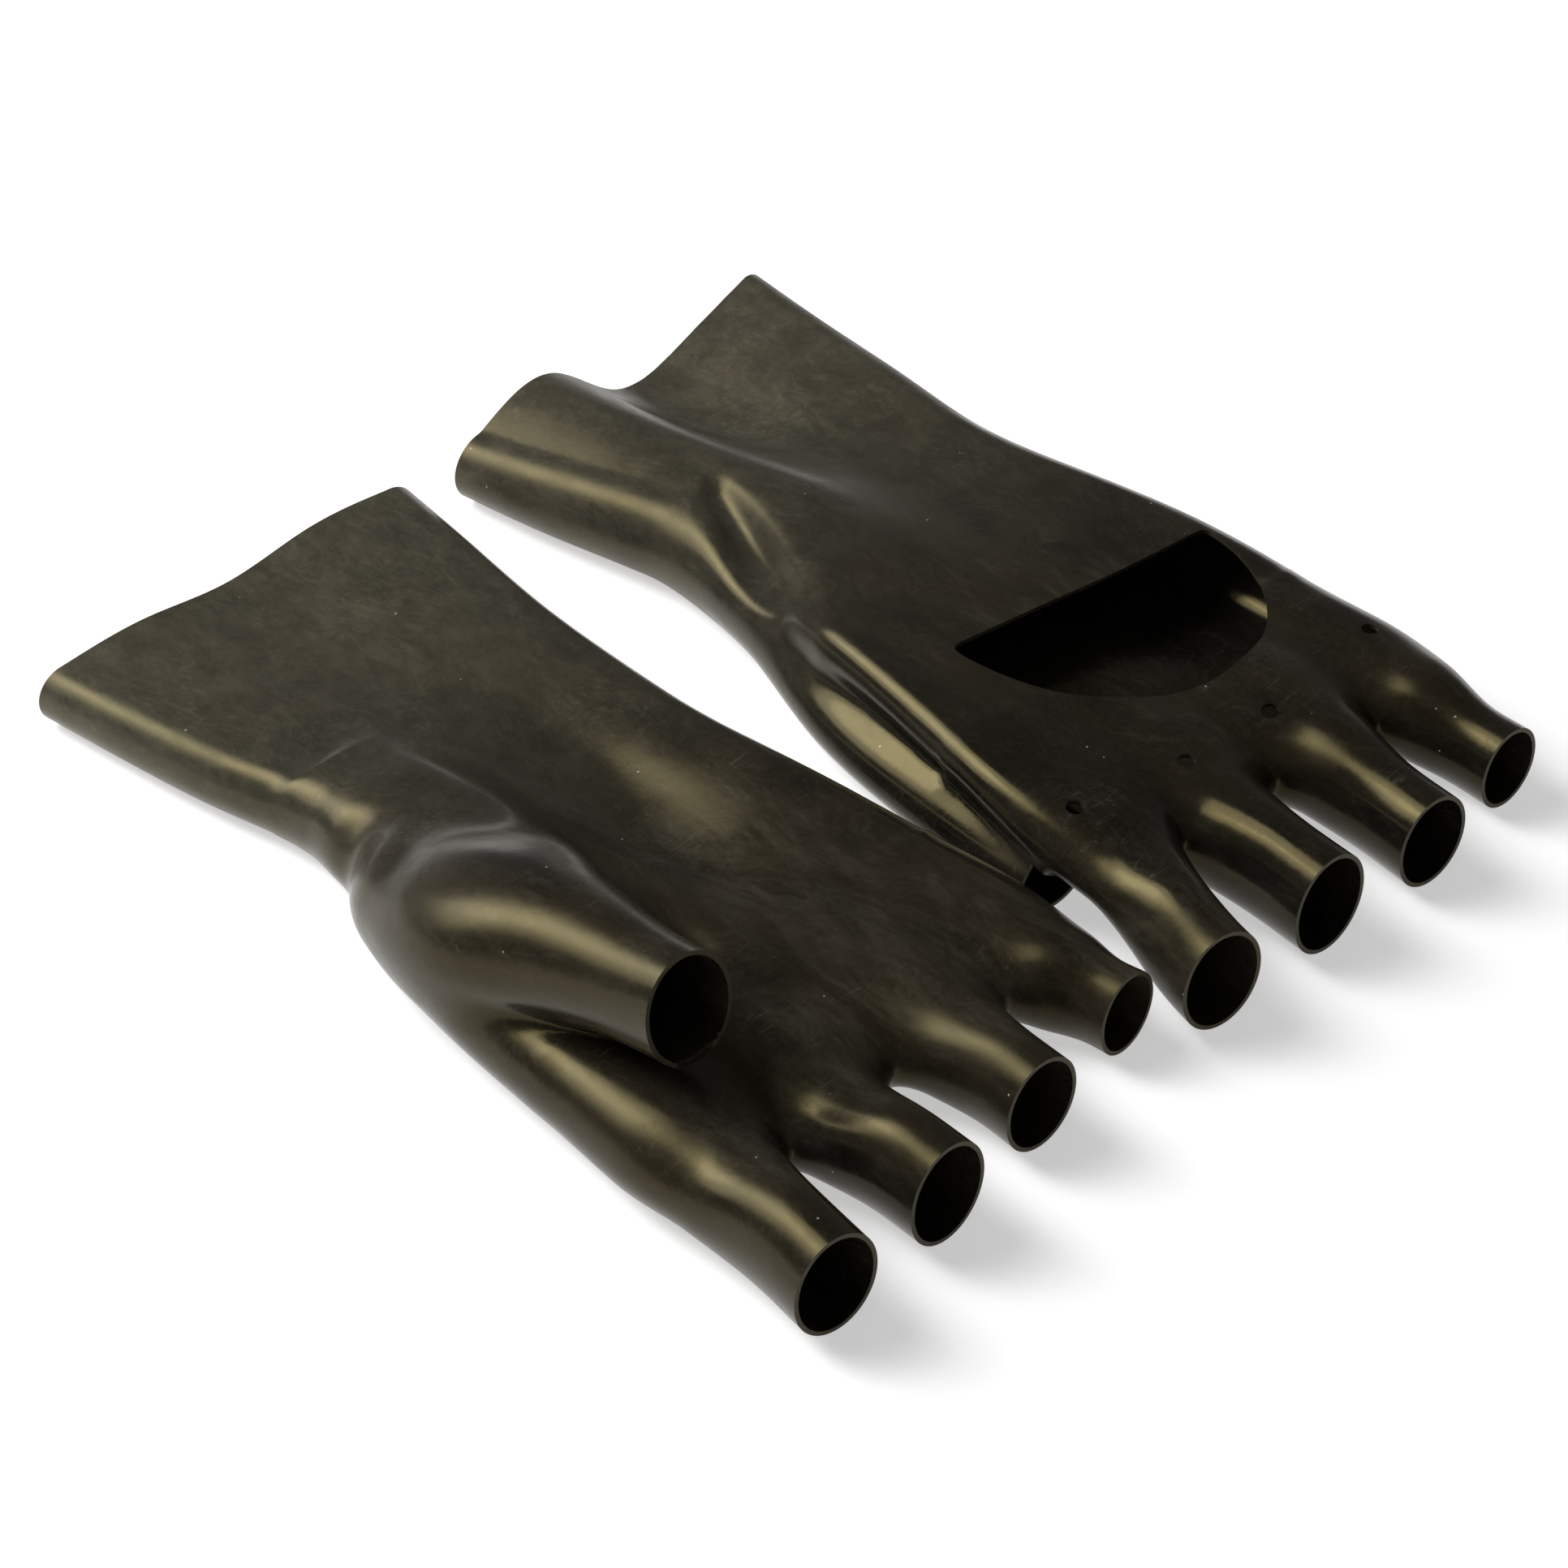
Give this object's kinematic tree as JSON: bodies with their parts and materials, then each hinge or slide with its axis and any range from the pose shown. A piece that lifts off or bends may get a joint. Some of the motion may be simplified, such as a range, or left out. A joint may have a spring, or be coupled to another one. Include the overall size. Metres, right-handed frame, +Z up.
{
  "type": "rubber work glove pair",
  "caption": "Moulded rubber gloves with long cuffs, short open finger stubs, and a half-moon opening and vent holes in the back, lying relaxed side by side",
  "frame": {"origin": "middle of the pair on the surface it lies on", "axes": "+X runs from the cuffs to the fingers, +Y from the right glove to the left one, +Z up"},
  "size_m": [0.2577, 0.2326, 0.0502],
  "materials": {
    "rubber": "satin black-brown moulded rubber with a dusty bloom"
  },
  "bodies": {
    "right_glove": {"right_glove": "rubber"},
    "left_glove": {"left_glove": "rubber"}
  },
  "joints": [
    {"name": "left_glove_lift", "type": "slide", "parent": "right_glove", "child": "left_glove", "axis": [0, 0, 1], "range_m": [0, 0.15]}
  ]
}
